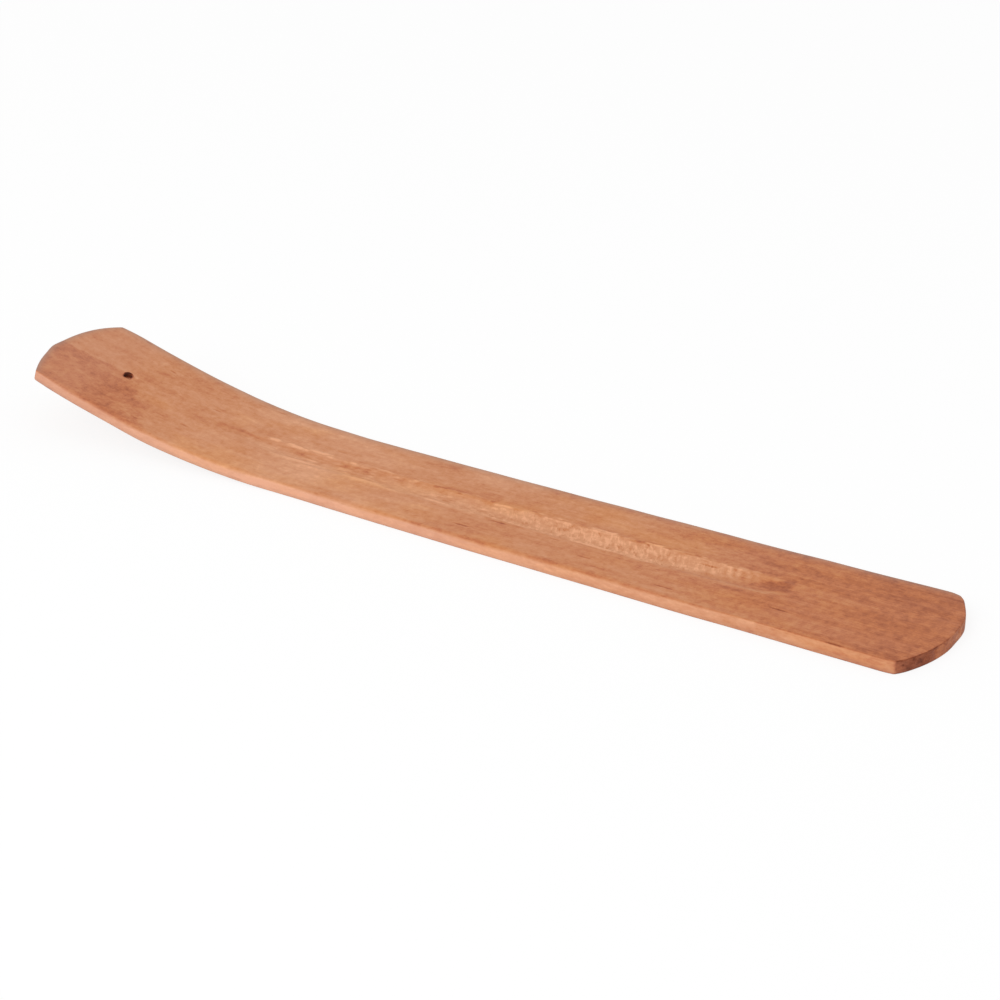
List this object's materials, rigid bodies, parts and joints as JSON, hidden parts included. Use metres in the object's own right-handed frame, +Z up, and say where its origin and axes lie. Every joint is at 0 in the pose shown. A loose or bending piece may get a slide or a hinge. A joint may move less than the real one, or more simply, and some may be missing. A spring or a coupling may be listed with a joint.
{
  "type": "incense stick holder",
  "caption": "Thin wooden slat with an upturned end, a small drilled hole that holds a leaning incense stick, and a shallow groove along the middle that catches its ash.",
  "frame": {"origin": "on the table, under the middle of the slat's bounding box", "axes": "+X runs from the upturned end with the hole to the flat end, +Y across the slat, +Z up"},
  "size_m": [0.2522, 0.0356, 0.0178],
  "materials": {
    "reddish_wood": "sanded, unvarnished"
  },
  "bodies": {
    "root": {"wooden_slat": "reddish_wood"}
  },
  "joints": []
}
